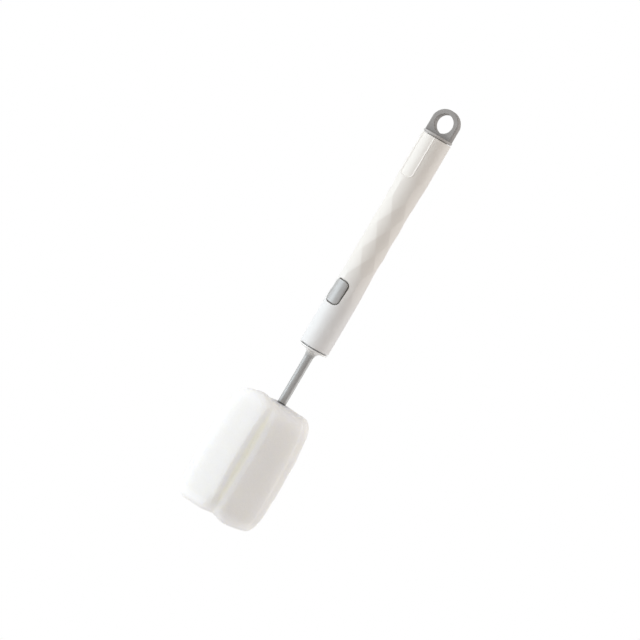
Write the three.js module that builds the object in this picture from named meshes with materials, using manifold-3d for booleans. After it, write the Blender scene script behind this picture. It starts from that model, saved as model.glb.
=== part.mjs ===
// A bottle brush: a hollow faceted handle with a hanging loop at its top, and a foam head on a stem that
// plugs into the handle's lower end and is let go by a push button.
// Millimetres, +Z up along the handle. The origin is the centre of the hanging hole. The button faces -Y.

import * as THREE from 'three';
import { mergeVertices } from 'three/addons/utils/BufferGeometryUtils.js';
import Module from 'manifold-3d';

const wasm = await Module();
wasm.setup();

// Driving dimensions: fits
const CLEARANCE = 0.3; // between two pieces that fit into each other or seat on each other

// Driving dimensions: handle shell
const HANDLE_LENGTH = 157;
const HANDLE_RADIUS = 10.5;
const HANDLE_EDGE = 0.5; // rounding of the two end rims
const SOCKET_BORE_WALL = 2.1; // wall around the lower bore, which takes the stem socket
const GRIP_WALL = 1.8; // least wall behind the facets
const HANDLE_SEGMENTS = 36; // three to a facet column

// Driving dimensions: diamond facets of the grip
const FACET_COLUMNS = 12;
const FACET_START = 45.2; // handle's top face to the first row of facet corners
const FACET_STEP = 9.75; // from one row of corners to the next
const FACET_STEPS = 6;
const FACET_DEPTH = 1.1; // at a facet's centre
const FACET_CORNER_DEPTH = 0.4; // at a facet's four corners
const FACET_FADE = 16; // length over which the end facets run out
const FACET_GRID = 3; // mesh steps from one row of corners to the next

// Driving dimensions: bare panel below the loop
const PANEL_WIDTH = 10;
const PANEL_LENGTH = 31.8;
const PANEL_CORNER = 3;
const PANEL_DEPTH = 1;
const PANEL_CURVE = 20; // radius of the panel's floor

// Driving dimensions: hanging loop cap
const CAP_INSET = 0.1; // its flange is this much smaller in radius than the handle
const CAP_FLANGE = 1.4;
const CAP_EDGE = 0.4;
const SEAM_GAP = 0.7; // visible gap below the flange
const SEAM_DEPTH = 1.1;
const LOOP_THICKNESS = 6;
const LOOP_WALL = 3.95; // beside the hole at its narrowest
const LOOP_FOOT = 2.1; // under the hole at its narrowest
const LOOP_ARCH_RISE = 0.7; // arch centre above the hole's centre
const LOOP_EDGE = 0.8; // rounding of the loop's outer edges
const HOLE_FLARE = 2.2; // how much the hole's radius grows from its middle to the loop's faces
const HOLE_ROUNDNESS = 1.5; // exponent of that growth: 1 is a cone, 2 a round edge
const HOLE_STEPS = 4;
const HOLE_SEGMENTS = 32;
const SPIGOT_LENGTH = 12;
const SPIGOT_WALL = 1.9;
const BEAD_DROP = 7; // snap bead below the handle's top face
const BEAD_HEIGHT = 1.6;
const BEAD_REACH = 0.4;

// Driving dimensions: release button
const BUTTON_RISE = 39.7; // its centre above the handle's lower face
const BUTTON_WIDTH = 10.4;
const BUTTON_HEIGHT = 16.6;
const BUTTON_CORNER = 3.1;
const BUTTON_GAP = 0.9; // visible gap around it
const BUTTON_PROUD = 0.15;
const BUTTON_TRAVEL = 2;
const SPRING_PIN_LENGTH = 1.2;

// Driving dimensions: stem socket inside the handle
const SOCKET_WALL = 1.7; // in front of the keyed bore, behind the button
const SOCKET_STOP = 1.2; // wall that the latch plate's shoulders stop against
const SOCKET_BULKHEAD = 1.5; // between the keyed bore's end and the spring pocket
const SOCKET_ROOF = 1.6; // above the spring pocket
const SPRING_POCKET_DEPTH = 5.2;

// Driving dimensions: latch plate and spring
const LATCH_DROP = 4.2; // below the button's centre
const LATCH_THICKNESS = 2.2;
const LATCH_RIM = 1.9; // around the plate's hole
const LATCH_SHOULDER = 1.35;
const LATCH_KEY_WIDTH = 6; // the key that clips into the button
const LATCH_KEY_LENGTH = 0.8;
const SPRING_RADIUS = 2; // to the wire's centre
const SPRING_WIRE = 0.5;
const SPRING_TURNS = 5;

// Driving dimensions: brush stem
const STEM_GAP = 0.85; // visible gap between the handle and the stem's flange
const PLUG_HEIGHT = 1.8; // how far the stem's plug reaches into the handle
const FLANGE_RADIUS = 10.3;
const FLANGE_THICKNESS = 0.9;
const FLARE_RADIUS = 7; // where the flange turns into the flare
const FLARE_LENGTH = 6.2;
const ROD_RADIUS = 3.05;
const ROD_LENGTH = 43.8; // from the flange's top to the sponge's top
const TAIL_FLATS = 7.2; // across the flats of the keyed tail
const TIP_LENGTH = 3;
const TIP_CHAMFER = 1.2;
const CORE_LENGTH = 67; // rod inside the sponge
const CORE_POINT = 4;
const BARB_COUNT = 4;
const BARB_REACH = 1;
const BARB_LENGTH = 5;
const STEM_SEGMENTS = 24;

// Driving dimensions: foam sponge
const SPONGE_LENGTH = 83.4;
const SPONGE_RADIUS = 29.3; // at its widest
const SPONGE_WIDEST = -0.26; // height of the widest ring, from -1 at the bottom to 1 at the top
const SPONGE_TAPER = 1.8; // how fast the radius falls away above and below the widest ring
const SPONGE_SQUARENESS = 8; // exponent of the profile's rounded corners
const SPONGE_CROWN = 0.4; // rise of the top towards the stem
const SPONGE_DIMPLE = 1.2; // dip of the bottom towards the axis
const LOBES = 6;
const GROOVE_DEPTH = 9;
const GROOVE_WIDTH = 9.4;
const GROOVE_END_DEPTH = 1.6;
const GROOVE_END_WIDTH = 6;
const SPONGE_SIDE_RINGS = 10;
const SPONGE_CAP_RINGS = 4;

// Heights of the seats, worked out from the hanging hole downwards
const capRadius = HANDLE_RADIUS - CAP_INSET;
const holeRadius = capRadius - LOOP_WALL;
const flangeTop = -(holeRadius + LOOP_FOOT);
const flangeBottom = flangeTop - CAP_FLANGE;
const handleTop = flangeBottom - SEAM_GAP;
const handleBottom = handleTop - HANDLE_LENGTH;
const buttonZ = handleBottom + BUTTON_RISE;
const latchZ = buttonZ - LATCH_DROP;
const socketBottom = handleBottom + PLUG_HEIGHT;
const stemTop = handleBottom - STEM_GAP;
const spongeTop = stemTop - ROD_LENGTH;
const spongeMiddle = spongeTop - SPONGE_LENGTH / 2;

// Radii of the bores and of what fits in them
const gripBore = HANDLE_RADIUS - FACET_DEPTH - GRIP_WALL;
const socketBore = HANDLE_RADIUS - SOCKET_BORE_WALL;
const socketRadius = socketBore - CLEARANCE;
const spigotRadius = gripBore - CLEARANCE;
const beadRadius = spigotRadius + BEAD_REACH;

// Keyed tail, latch and button, each from the one before it
const HEX = Math.PI / 6;
const tailCorner = TAIL_FLATS / 2 / Math.cos(HEX);
const keyBoreCorner = (TAIL_FLATS / 2 + CLEARANCE) / Math.cos(HEX);
const socketFlat = keyBoreCorner + SOCKET_WALL;
const buttonBack = socketFlat + BUTTON_TRAVEL + CLEARANCE;
const latchHole = tailCorner + CLEARANCE;
const latchHalfWidth = latchHole + LATCH_RIM;
const tongueHalfWidth = latchHalfWidth - LATCH_SHOULDER;
const grooveRadius = latchHole - BUTTON_TRAVEL - CLEARANCE;
const slotHalfHeight = LATCH_THICKNESS / 2 + CLEARANCE;
const tipTop = latchZ + slotHalfHeight + TIP_LENGTH;
const keyBoreTop = tipTop + CLEARANCE;
const pocketRadius = SPRING_RADIUS + SPRING_WIRE / 2 + CLEARANCE;
const springZ = keyBoreTop + SOCKET_BULKHEAD + pocketRadius;
const socketTop = springZ + pocketRadius + SOCKET_ROOF;
const windowHalfHeight = BUTTON_HEIGHT / 2 + BUTTON_GAP;

// Cutting tools reach this far past the surface that they cut
const PAST = 2;

// A three.js geometry as a solid that can be joined and cut.
function solidOf(geometry) {
  const plain = geometry.clone();
  plain.deleteAttribute('normal');
  plain.deleteAttribute('uv');
  const merged = mergeVertices(plain, 1e-4);
  const mesh = new wasm.Mesh({
    numProp: 3,
    vertProperties: new Float32Array(merged.attributes.position.array),
    triVerts: new Uint32Array(merged.index.array),
  });
  return new wasm.Manifold(mesh);
}

// A solid as a three.js geometry.
function geometryOf(solid) {
  const mesh = solid.getMesh();
  const geometry = new THREE.BufferGeometry();
  geometry.setAttribute('position', new THREE.BufferAttribute(mesh.vertProperties, 3));
  geometry.setIndex(new THREE.BufferAttribute(mesh.triVerts, 1));
  geometry.computeVertexNormals();
  return geometry;
}

// A solid of revolution about Z through [radius, height] pairs, from the axis at the foot to the axis at
// the top.
function turned(pairs, segments) {
  const profile = pairs.map(([radius, height]) => new THREE.Vector2(radius, height));
  const geometry = new THREE.LatheGeometry(profile, segments);
  geometry.rotateX(Math.PI / 2);
  return solidOf(geometry);
}

// An upright prism: a shape in X and Y between two heights.
function upright(shape, bottom, top, curveSegments = 12) {
  const depth = top - bottom;
  const geometry = new THREE.ExtrudeGeometry(shape, { depth, bevelEnabled: false, curveSegments });
  geometry.translate(0, 0, bottom);
  return solidOf(geometry);
}

// A prism through the handle from front to back: a shape in X and Z, from y = front to y = back.
function crosswise(shape, front, back, curveSegments = 6) {
  const depth = back - front;
  const geometry = new THREE.ExtrudeGeometry(shape, { depth, bevelEnabled: false, curveSegments });
  geometry.rotateX(Math.PI / 2);
  geometry.translate(0, back, 0);
  return solidOf(geometry);
}

// A box between two corners.
function block(low, high) {
  const size = high.map((value, axis) => value - low[axis]);
  const geometry = new THREE.BoxGeometry(...size);
  geometry.translate(...low.map((value, axis) => value + size[axis] / 2));
  return solidOf(geometry);
}

// An upright regular prism with a corner towards the front.
function uprightPrism(corner, bottom, top, sides) {
  const geometry = new THREE.CylinderGeometry(corner, corner, top - bottom, sides);
  geometry.rotateX(Math.PI / 2);
  geometry.translate(0, 0, (bottom + top) / 2);
  return solidOf(geometry);
}

// A round bar along Y.
function crossBar(radius, front, back, z, sides = 20) {
  const geometry = new THREE.CylinderGeometry(radius, radius, back - front, sides);
  geometry.translate(0, (front + back) / 2, z);
  return solidOf(geometry);
}

// A rectangle with round corners, centred on x = 0.
function roundedRectangle(width, bottom, top, corner) {
  const half = width / 2;
  const shape = new THREE.Shape();
  shape.moveTo(-half + corner, bottom);
  shape.lineTo(half - corner, bottom);
  shape.absarc(half - corner, bottom + corner, corner, -Math.PI / 2, 0);
  shape.lineTo(half, top - corner);
  shape.absarc(half - corner, top - corner, corner, 0, Math.PI / 2);
  shape.lineTo(-half + corner, top);
  shape.absarc(-half + corner, top - corner, corner, Math.PI / 2, Math.PI);
  shape.lineTo(-half, bottom + corner);
  shape.absarc(-half + corner, bottom + corner, corner, Math.PI, 1.5 * Math.PI);
  return shape;
}

// A point at an azimuth counted from the front (-Y) towards +X.
function around(radius, azimuth, z) {
  return new THREE.Vector3(radius * Math.sin(azimuth), -radius * Math.cos(azimuth), z);
}

// A closed surface through rings of equally many points, the outer rings from the top down. The last ring
// joins the first, unless the rings start and end in a point. splitDown says which way a patch is split.
function ringSurface(rings, joined, splitDown = () => false) {
  const count = rings[0].length;
  const positions = rings.flatMap((ring) => ring.flatMap((point) => point.toArray()));
  const index = [];
  const last = joined ? rings.length : rings.length - 1;
  for (let row = 0; row < last; row += 1) {
    const below = (row + 1) % rings.length;
    for (let column = 0; column < count; column += 1) {
      const beside = (column + 1) % count;
      const a = row * count + column;
      const b = row * count + beside;
      const c = below * count + column;
      const d = below * count + beside;
      if (splitDown(row, column)) index.push(a, c, d, a, d, b);
      else index.push(a, c, b, b, c, d);
    }
  }
  if (!joined) {
    const topPole = positions.length / 3;
    const bottomPole = topPole + 1;
    positions.push(...centreOf(rings[0]).toArray(), ...centreOf(rings[rings.length - 1]).toArray());
    const lastRing = (rings.length - 1) * count;
    for (let column = 0; column < count; column += 1) {
      const beside = (column + 1) % count;
      index.push(topPole, column, beside);
      index.push(bottomPole, lastRing + beside, lastRing + column);
    }
  }
  const geometry = new THREE.BufferGeometry();
  geometry.setAttribute('position', new THREE.Float32BufferAttribute(positions, 3));
  geometry.setIndex(index);
  return geometry;
}

// The point of the axis at a ring's mean height.
function centreOf(ring) {
  const height = ring.reduce((sum, point) => sum + point.z, 0) / ring.length;
  return new THREE.Vector3(0, 0, height);
}

// Diamond facets. Each is a shallow saddle, hollow along the handle and crowned across it, centred between
// four corners.
const facetPitch = (2 * Math.PI) / FACET_COLUMNS;
const facetCorner = HANDLE_RADIUS - FACET_CORNER_DEPTH;
const facetCentre = HANDLE_RADIUS - FACET_DEPTH;
const facetSag = facetCentre - facetCorner * Math.cos(facetPitch);
const facetCrown = (facetCorner * Math.sin(facetPitch)) ** 2 / (2 * facetSag);
const facetHollow = FACET_STEP ** 2 / (2 * (facetCorner - facetCentre));
const facetRunOut = FACET_FADE ** 2 / (2 * FACET_DEPTH);
const firstCorners = handleTop - FACET_START;

// Radius of one facet's surface at an angle from its centre line and a height above its centre.
function facetRadius(angle, rise, runsOut) {
  const reach = facetCentre + rise ** 2 / (2 * (runsOut ? facetRunOut : facetHollow));
  const crown = Math.sin(angle) ** 2 / (2 * facetCrown);
  const slope = Math.cos(angle);
  return (2 * reach) / (slope + Math.sqrt(slope ** 2 + 4 * crown * reach));
}

// Radius of the handle's outside: the deepest of all facets there, or the plain cylinder.
function gripRadius(azimuth, z) {
  let radius = HANDLE_RADIUS;
  for (let row = 0; row <= FACET_STEPS; row += 1) {
    const rise = z - (firstCorners - row * FACET_STEP);
    const runsOut = (row === 0 && rise > 0) || (row === FACET_STEPS && rise < 0);
    for (let column = (row + 1) % 2; column < FACET_COLUMNS; column += 2) {
      const turn = azimuth - column * facetPitch;
      const angle = Math.atan2(Math.sin(turn), Math.cos(turn));
      const inHeight = Math.abs(rise) < FACET_STEP || runsOut;
      const inWidth = Math.abs(angle) < 2 * facetPitch;
      if (inHeight && inWidth) radius = Math.min(radius, facetRadius(angle, rise, runsOut));
    }
  }
  return radius;
}

// Handle shell: faceted outside, stepped bore, window for the button, and a bare panel.
function handleShell() {
  const ring = (radiusAt, z) => {
    const points = [];
    for (let column = 0; column < HANDLE_SEGMENTS; column += 1) {
      const azimuth = (column * 2 * Math.PI) / HANDLE_SEGMENTS;
      points.push(around(radiusAt(azimuth), azimuth, z));
    }
    return points;
  };
  const round = (radius, z) => ring(() => radius, z);
  const softened = HANDLE_EDGE * (1 - Math.SQRT1_2);
  const fadeSteps = Math.ceil((FACET_FADE / FACET_STEP) * FACET_GRID);
  const lastStep = FACET_STEPS * FACET_GRID + fadeSteps;
  const rings = [
    round(HANDLE_RADIUS - HANDLE_EDGE, handleTop),
    round(HANDLE_RADIUS - softened, handleTop - softened),
    round(HANDLE_RADIUS, handleTop - HANDLE_EDGE),
  ];
  const firstFacetRing = rings.length + fadeSteps;
  for (let step = -fadeSteps; step <= lastStep; step += 1) {
    const z = firstCorners - (step * FACET_STEP) / FACET_GRID;
    rings.push(ring((azimuth) => gripRadius(azimuth, z), z));
  }
  rings.push(
    round(HANDLE_RADIUS, handleBottom + HANDLE_EDGE),
    round(HANDLE_RADIUS - softened, handleBottom + softened),
    round(HANDLE_RADIUS - HANDLE_EDGE, handleBottom),
    round(socketBore, handleBottom),
    round(socketBore, socketTop + CLEARANCE),
    round(gripBore, socketTop + CLEARANCE),
  );
  const beadZ = handleTop - BEAD_DROP;
  const grooveHalf = BEAD_HEIGHT / 2 + CLEARANCE;
  rings.push(
    round(gripBore, beadZ - grooveHalf),
    round(beadRadius + CLEARANCE, beadZ - CLEARANCE),
    round(beadRadius + CLEARANCE, beadZ + CLEARANCE),
    round(gripBore, beadZ + grooveHalf),
    round(gripBore, handleTop),
  );
  const splitDown = (row, column) => (column - (row - firstFacetRing)) % (2 * FACET_GRID) === 0;
  const shell = solidOf(ringSurface(rings, true, splitDown));

  const front = -(HANDLE_RADIUS + PAST);
  const window = crosswise(
    roundedRectangle(
      BUTTON_WIDTH + 2 * BUTTON_GAP,
      buttonZ - windowHalfHeight,
      buttonZ + windowHalfHeight,
      BUTTON_CORNER + BUTTON_GAP,
    ),
    front,
    -gripBore / 2,
  );
  const panelBottom = handleTop - PANEL_LENGTH;
  const panelBlank = crosswise(
    roundedRectangle(PANEL_WIDTH, panelBottom, handleTop + 2 * PANEL_CORNER, PANEL_CORNER),
    front,
    -gripBore,
  );
  const panelFloor = new THREE.CylinderGeometry(PANEL_CURVE, PANEL_CURVE, 2 * PANEL_LENGTH, 180);
  panelFloor.rotateX(Math.PI / 2);
  panelFloor.translate(0, PANEL_CURVE - (HANDLE_RADIUS - PANEL_DEPTH), handleTop - PANEL_LENGTH / 2);
  return shell.subtract(window).subtract(panelBlank.subtract(solidOf(panelFloor)));
}

// Hanging loop cap: a flat-sided arch on a round flange, with a hole that opens towards both faces, and a
// cored spigot with a snap bead for the handle's bore.
function hangLoopCap() {
  const faceHalfWidth = capRadius - LOOP_EDGE;
  const foot = flangeTop - CAP_FLANGE / 2 + LOOP_EDGE;
  const outline = new THREE.Shape();
  outline.moveTo(-faceHalfWidth, foot);
  outline.lineTo(faceHalfWidth, foot);
  outline.absarc(0, LOOP_ARCH_RISE, faceHalfWidth, 0, Math.PI);
  const arch = new THREE.ExtrudeGeometry(outline, {
    depth: LOOP_THICKNESS - 2 * LOOP_EDGE,
    bevelThickness: LOOP_EDGE,
    bevelSize: LOOP_EDGE,
    bevelSegments: 2,
    curveSegments: 14,
  });
  arch.rotateX(Math.PI / 2);
  arch.translate(0, LOOP_THICKNESS / 2 - LOOP_EDGE, 0);
  const sides = uprightPrism(capRadius, foot - PAST, capRadius + LOOP_ARCH_RISE + PAST, HANDLE_SEGMENTS);

  const halfThickness = LOOP_THICKNESS / 2;
  const openEnd = holeRadius + HOLE_FLARE;
  const pairs = [[0, -halfThickness - PAST]];
  pairs.push([openEnd, -halfThickness - PAST]);
  for (let step = -HOLE_STEPS; step <= HOLE_STEPS; step += 1) {
    const share = step / HOLE_STEPS;
    const radius = holeRadius + HOLE_FLARE * Math.abs(share) ** HOLE_ROUNDNESS;
    pairs.push([radius, halfThickness * share]);
  }
  pairs.push([openEnd, halfThickness + PAST]);
  pairs.push([0, halfThickness + PAST]);
  const holeProfile = pairs.map(([radius, y]) => new THREE.Vector2(radius, y));
  const hole = solidOf(new THREE.LatheGeometry(holeProfile, HOLE_SEGMENTS));

  const spigotBottom = handleTop - SPIGOT_LENGTH;
  const seat = handleTop + CLEARANCE;
  const beadZ = handleTop - BEAD_DROP;
  const coreRadius = spigotRadius - SPIGOT_WALL;
  const base = turned(
    [
      [0, seat],
      [coreRadius, seat],
      [coreRadius, spigotBottom],
      [spigotRadius - CAP_EDGE, spigotBottom],
      [spigotRadius, spigotBottom + CAP_EDGE],
      [spigotRadius, beadZ - BEAD_HEIGHT / 2],
      [beadRadius, beadZ],
      [spigotRadius, beadZ + BEAD_HEIGHT / 2],
      [spigotRadius, seat],
      [HANDLE_RADIUS - SEAM_DEPTH, seat],
      [HANDLE_RADIUS - SEAM_DEPTH, flangeBottom],
      [capRadius, flangeBottom],
      [capRadius, flangeTop - CAP_EDGE],
      [capRadius - CAP_EDGE, flangeTop],
      [0, flangeTop],
    ],
    HANDLE_SEGMENTS,
  );
  return base.add(solidOf(arch).intersect(sides).subtract(hole));
}

// Stem socket: a sleeve fixed in the handle's lower bore. It has the keyed bore for the stem's tail, a slot for
// the latch plate, a flat behind the button and the spring's pocket.
function stemSocket() {
  const sleeve = uprightPrism(socketRadius, socketBottom, socketTop, HANDLE_SEGMENTS);
  const keyBore = uprightPrism(keyBoreCorner, socketBottom - PAST, keyBoreTop, 6);
  const outside = socketRadius + PAST;
  const flat = block(
    [-outside, -outside, buttonZ - windowHalfHeight - CLEARANCE],
    [outside, -socketFlat, socketTop + PAST],
  );
  const stopFace = -(socketFlat - SOCKET_STOP);
  const slotHalfWidth = latchHalfWidth + CLEARANCE;
  const slot = block(
    [-slotHalfWidth, stopFace, latchZ - slotHalfHeight],
    [slotHalfWidth, outside, latchZ + slotHalfHeight],
  );
  const mouthHalfWidth = tongueHalfWidth + CLEARANCE;
  const mouth = block(
    [-mouthHalfWidth, -outside, latchZ - slotHalfHeight],
    [mouthHalfWidth, stopFace + CLEARANCE, latchZ + slotHalfHeight],
  );
  const pocket = crossBar(pocketRadius, -outside, -socketFlat + SPRING_POCKET_DEPTH, springZ);
  return sleeve.subtract(keyBore).subtract(flat).subtract(slot).subtract(mouth).subtract(pocket);
}

// Latch plate: at rest the far edge of its hole lies in the tail's groove, and the button pushes it clear.
function latchPlate() {
  const shoulder = -(socketFlat - SOCKET_STOP) + CLEARANCE;
  const front = -(buttonBack - CLEARANCE);
  const keyFront = -(buttonBack + LATCH_KEY_LENGTH);
  const keyHalf = LATCH_KEY_WIDTH / 2;
  const outline = new THREE.Shape();
  outline.moveTo(-keyHalf, keyFront);
  outline.lineTo(keyHalf, keyFront);
  outline.lineTo(keyHalf, front);
  outline.lineTo(tongueHalfWidth, front);
  outline.lineTo(tongueHalfWidth, shoulder);
  outline.lineTo(latchHalfWidth, shoulder);
  outline.absarc(0, -BUTTON_TRAVEL, latchHalfWidth, 0, Math.PI);
  outline.lineTo(-latchHalfWidth, shoulder);
  outline.lineTo(-tongueHalfWidth, shoulder);
  outline.lineTo(-tongueHalfWidth, front);
  outline.lineTo(-keyHalf, front);
  const hole = new THREE.Path();
  hole.absarc(0, -BUTTON_TRAVEL, latchHole, 0, 2 * Math.PI, true);
  outline.holes.push(hole);
  return upright(outline, latchZ - LATCH_THICKNESS / 2, latchZ + LATCH_THICKNESS / 2);
}

// Release button: follows the handle's curve, with a slot for the latch plate's key and a pin for the spring.
function releaseButton() {
  const blank = crosswise(
    roundedRectangle(BUTTON_WIDTH, buttonZ - BUTTON_HEIGHT / 2, buttonZ + BUTTON_HEIGHT / 2, BUTTON_CORNER),
    -(HANDLE_RADIUS + PAST),
    -buttonBack,
  );
  const faceRadius = HANDLE_RADIUS + BUTTON_PROUD;
  const face = uprightPrism(faceRadius, buttonZ - BUTTON_HEIGHT, buttonZ + BUTTON_HEIGHT, 2 * HANDLE_SEGMENTS);
  const keySlot = block(
    [-LATCH_KEY_WIDTH / 2 - CLEARANCE, -(buttonBack + LATCH_KEY_LENGTH + CLEARANCE), latchZ - slotHalfHeight],
    [LATCH_KEY_WIDTH / 2 + CLEARANCE, -buttonBack + PAST, latchZ + slotHalfHeight],
  );
  const pinRadius = SPRING_RADIUS - SPRING_WIRE / 2 - CLEARANCE;
  const pin = crossBar(pinRadius, -(buttonBack + CLEARANCE), -buttonBack + SPRING_PIN_LENGTH, springZ, 12);
  return blank.intersect(face).subtract(keySlot).add(pin);
}

// Latch spring: a helix along Y from the button's back to the floor of the socket's pocket.
class Helix extends THREE.Curve {
  constructor(front, back) {
    super();
    this.front = front;
    this.back = back;
  }

  getPoint(share, target = new THREE.Vector3()) {
    const turn = share * SPRING_TURNS * 2 * Math.PI;
    const y = this.front + (this.back - this.front) * share;
    return target.set(SPRING_RADIUS * Math.cos(turn), y, springZ + SPRING_RADIUS * Math.sin(turn));
  }
}

function latchSpring() {
  const endGap = CLEARANCE + SPRING_WIRE / 2;
  const helix = new Helix(-buttonBack + endGap, -socketFlat + SPRING_POCKET_DEPTH - endGap);
  const wire = new THREE.Shape();
  wire.absarc(0, 0, SPRING_WIRE / 2, 0, 2 * Math.PI);
  const steps = SPRING_TURNS * 10;
  return solidOf(new THREE.ExtrudeGeometry(wire, { steps, extrudePath: helix, curveSegments: 3 }));
}

// Core of the stem inside the sponge, from its point up: a rod with barbs, grown by a margin.
function coreProfile(margin) {
  const coreBottom = spongeTop - CORE_LENGTH;
  const barbPitch = (CORE_LENGTH - CORE_POINT - BARB_LENGTH) / BARB_COUNT;
  const pairs = [[0, coreBottom - margin]];
  pairs.push([ROD_RADIUS / 2 + margin, coreBottom - margin]);
  pairs.push([ROD_RADIUS + margin, coreBottom + CORE_POINT - margin]);
  for (let barb = 0; barb < BARB_COUNT; barb += 1) {
    const foot = coreBottom + CORE_POINT + barb * barbPitch;
    pairs.push([ROD_RADIUS + margin, foot + barbPitch - BARB_LENGTH - margin]);
    pairs.push([ROD_RADIUS + BARB_REACH + margin, foot + barbPitch - margin]);
    pairs.push([ROD_RADIUS + BARB_REACH + margin, foot + barbPitch + margin]);
    pairs.push([ROD_RADIUS + margin, foot + barbPitch + margin + CLEARANCE]);
  }
  return pairs;
}

// Brush stem: barbed core, rod, flare, flange, plug and keyed tail with the latch groove, in one moulding.
function brushStem() {
  const plugTop = socketBottom - CLEARANCE;
  const flangeFoot = stemTop - FLANGE_THICKNESS;
  const flareFoot = flangeFoot - FLARE_LENGTH;
  const flareTop = flangeFoot - FLANGE_THICKNESS / 2;
  const flareWidth = FLARE_RADIUS - ROD_RADIUS;
  const flare = new THREE.CubicBezierCurve(
    new THREE.Vector2(ROD_RADIUS, flareFoot),
    new THREE.Vector2(ROD_RADIUS, flareFoot + (FLARE_LENGTH * 2) / 3),
    new THREE.Vector2(ROD_RADIUS + flareWidth / 4, flareTop),
    new THREE.Vector2(FLARE_RADIUS, flareTop),
  );
  const pairs = coreProfile(0);
  pairs.push(...flare.getPoints(7).map((point) => point.toArray()));
  pairs.push([FLANGE_RADIUS, flangeFoot]);
  pairs.push([FLANGE_RADIUS, stemTop]);
  pairs.push([socketRadius, stemTop]);
  pairs.push([socketRadius, plugTop]);
  pairs.push([0, plugTop]);
  const body = turned(pairs, STEM_SEGMENTS);

  const grooveFoot = latchZ - slotHalfHeight;
  const grooveTop = latchZ + slotHalfHeight;
  const tail = uprightPrism(tailCorner, plugTop - FLANGE_THICKNESS, grooveFoot, 6);
  const neck = uprightPrism(grooveRadius, grooveFoot - CLEARANCE, grooveTop + CLEARANCE, 16);
  const tipRadius = TAIL_FLATS / 2;
  const tip = turned(
    [
      [0, grooveTop],
      [tipRadius, grooveTop],
      [tipRadius, tipTop - TIP_CHAMFER],
      [tipRadius - TIP_CHAMFER, tipTop],
      [0, tipTop],
    ],
    18,
  );
  return body.add(tail).add(neck).add(tip);
}

// The rounded square that the sponge's profile follows: one half axis from the other, both from 0 to 1.
function squircle(share) {
  return (1 - share ** SPONGE_SQUARENESS) ** (1 / SPONGE_SQUARENESS);
}

// Foam sponge: a barrel with round shoulders, parted into lobes by grooves that close towards both ends.
// height runs from -1 at the bottom to 1 at the top, and spread from 0 on the axis to 1 at the side.
function spongeRing(height, spread) {
  const side = SPONGE_RADIUS - SPONGE_TAPER * (height - SPONGE_WIDEST) ** 2;
  const radius = side * spread;
  const swell = (height > 0 ? SPONGE_CROWN : SPONGE_DIMPLE) * (1 - spread ** 2) ** 2;
  const z = spongeMiddle + (SPONGE_LENGTH / 2) * height + swell;

  const openness = 1 - height ** 4;
  const depth = (GROOVE_END_DEPTH + (GROOVE_DEPTH - GROOVE_END_DEPTH) * openness) * spread;
  const width = GROOVE_END_WIDTH + (GROOVE_WIDTH - GROOVE_END_WIDTH) * openness;
  const lobe = (2 * Math.PI) / LOBES;
  const halfMouth = Math.min(width / 2 / radius, lobe / 4);
  const rest = lobe - 2 * halfMouth;
  const offsets = [-halfMouth / 2, 0, halfMouth / 2, halfMouth];
  offsets.push(halfMouth + rest / 4, lobe / 2, lobe - halfMouth - rest / 4, lobe - halfMouth);

  const inset = SPONGE_LENGTH / 2 - SPONGE_RADIUS;
  const target = new THREE.Vector2(0, THREE.MathUtils.clamp(z, spongeMiddle - inset, spongeMiddle + inset));
  const inward = target.sub(new THREE.Vector2(radius, z)).normalize();
  const points = [];
  for (let number = 0; number < LOBES; number += 1) {
    for (const offset of offsets) {
      const fromGroove = Math.min(Math.abs(offset), lobe - Math.abs(offset));
      const sunk = depth * Math.max(0, 1 - fromGroove / halfMouth);
      const azimuth = (number + 0.5) * lobe + offset;
      points.push(around(radius + inward.x * sunk, azimuth, z + inward.y * sunk));
    }
  }
  return points;
}

function spongeHead() {
  const shoulder = 0.5 ** (1 / SPONGE_SQUARENESS);
  const heights = [];
  for (let ring = 0; ring < SPONGE_SIDE_RINGS; ring += 1) {
    heights.push(shoulder * (1 - (2 * ring) / (SPONGE_SIDE_RINGS - 1)));
  }
  const spreads = [];
  for (let ring = 1; ring <= SPONGE_CAP_RINGS; ring += 1) {
    spreads.push((shoulder * ring) / (SPONGE_CAP_RINGS + 0.5));
  }
  const top = spreads.map((spread) => spongeRing(squircle(spread), spread));
  const sides = heights.map((height) => spongeRing(height, squircle(Math.abs(height))));
  const bottom = spreads.map((spread) => spongeRing(-squircle(spread), spread)).reverse();
  const body = solidOf(ringSurface([...top, ...sides, ...bottom], false));
  const bore = coreProfile(CLEARANCE);
  const boreTop = spongeTop + SPONGE_CROWN + PAST;
  bore.push([ROD_RADIUS + CLEARANCE, boreTop], [0, boreTop]);
  return body.subtract(turned(bore, 16));
}

// Materials
const white = new THREE.MeshStandardMaterial({ color: 0xf1f0ee, roughness: 0.35, metalness: 0 });
const grey = new THREE.MeshStandardMaterial({ color: 0x97958f, roughness: 0.45, metalness: 0 });
const natural = new THREE.MeshStandardMaterial({ color: 0xdedcd4, roughness: 0.5, metalness: 0 });
const steel = new THREE.MeshStandardMaterial({ color: 0xb8babc, roughness: 0.3, metalness: 1 });
const foam = new THREE.MeshStandardMaterial({ color: 0xf4f3ee, roughness: 0.95, metalness: 0 });

function piece(name, solid, material) {
  const mesh = new THREE.Mesh(geometryOf(solid), material);
  mesh.name = name;
  return mesh;
}

const brush = new THREE.Group();
brush.name = 'bottle_brush';
const handle = new THREE.Group();
handle.add(
  piece('handle_shell', handleShell(), white),
  piece('hang_loop_cap', hangLoopCap(), grey),
  piece('stem_socket', stemSocket(), natural),
  piece('latch_spring', latchSpring(), steel),
);
const button = new THREE.Group();
button.add(piece('release_button', releaseButton(), grey), piece('latch_plate', latchPlate(), natural));
const head = new THREE.Group();
head.add(piece('brush_stem', brushStem(), grey), piece('sponge_head', spongeHead(), foam));
brush.add(handle, button, head);

export default brush;
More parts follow.
